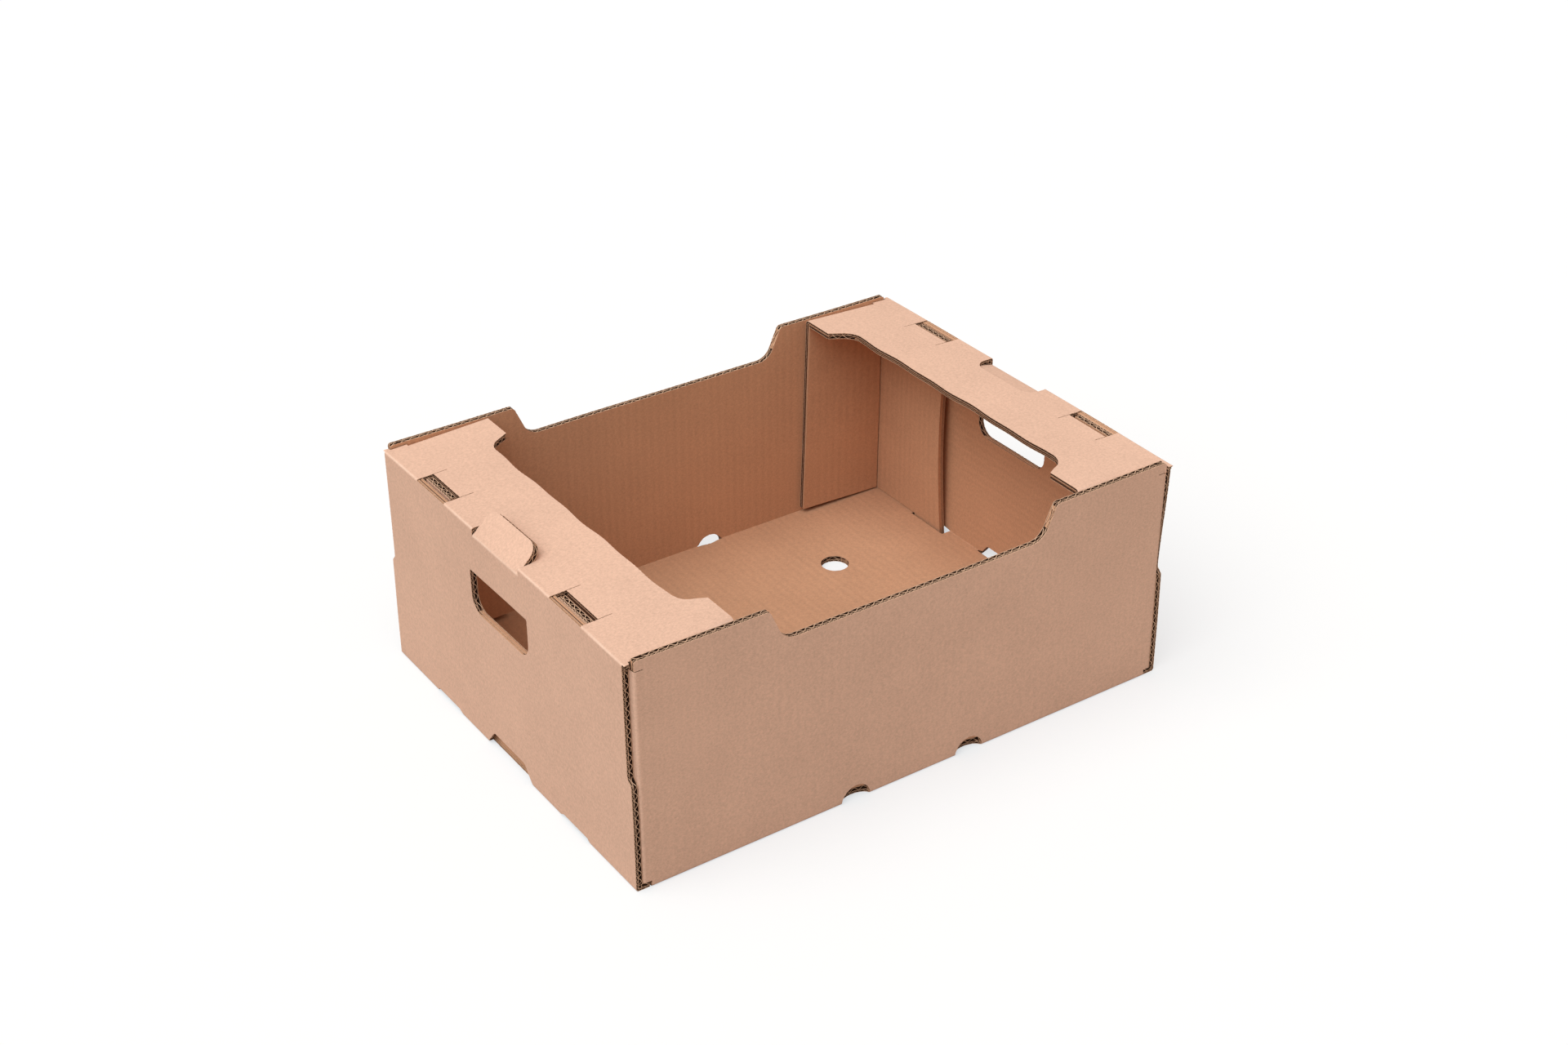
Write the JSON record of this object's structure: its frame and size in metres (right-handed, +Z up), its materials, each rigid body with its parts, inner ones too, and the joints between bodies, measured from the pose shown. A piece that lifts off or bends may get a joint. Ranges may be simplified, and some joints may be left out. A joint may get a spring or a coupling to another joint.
{
  "type": "cardboard tray box",
  "caption": "Open stacking tray folded from corrugated board, with low side walls, a ledge over each end, hand holes, stacking tabs and vents.",
  "frame": {"origin": "middle of the base, on the surface that the tray stands on", "axes": "+X along the long side, +Y along the short side, +Z up out of the open top"},
  "size_m": [0.412, 0.313, 0.1737],
  "materials": {
    "board": "matt brown kraft liner on corrugated board"
  },
  "bodies": {
    "tray": {"tray_body": "board"},
    "ledge_left": {"end_ledge_left": "board"},
    "ledge_right": {"end_ledge_right": "board"},
    "tab_left": {"stacking_tab_left": "board"},
    "tab_right": {"stacking_tab_right": "board"},
    "handle_left": {"handle_flap_left": "board"},
    "handle_right": {"handle_flap_right": "board"}
  },
  "joints": [
    {"name": "end_ledge_left_fold", "type": "hinge", "parent": "tray", "child": "ledge_left", "pos_m": [-0.20541, 0, 0.16041], "axis": [0, -1, 0], "range_deg": [0, 170]},
    {"name": "stacking_tab_left_fold", "type": "hinge", "parent": "tray", "child": "tab_left", "pos_m": [-0.206, 0, 0.156], "axis": [0, -1, 0], "range_deg": [-45, 60]},
    {"name": "handle_flap_left_fold", "type": "hinge", "parent": "tray", "child": "handle_left", "pos_m": [-0.206, 0, 0.1275], "axis": [0, -1, 0], "range_deg": [-66, 20]},
    {"name": "end_ledge_right_fold", "type": "hinge", "parent": "tray", "child": "ledge_right", "pos_m": [0.20541, 0, 0.16041], "axis": [0, 1, 0], "range_deg": [0, 170]},
    {"name": "stacking_tab_right_fold", "type": "hinge", "parent": "tray", "child": "tab_right", "pos_m": [0.206, 0, 0.156], "axis": [0, 1, 0], "range_deg": [0, 100]},
    {"name": "handle_flap_right_fold", "type": "hinge", "parent": "tray", "child": "handle_right", "pos_m": [0.206, 0, 0.1275], "axis": [0, 1, 0], "range_deg": [-66, 20]}
  ]
}
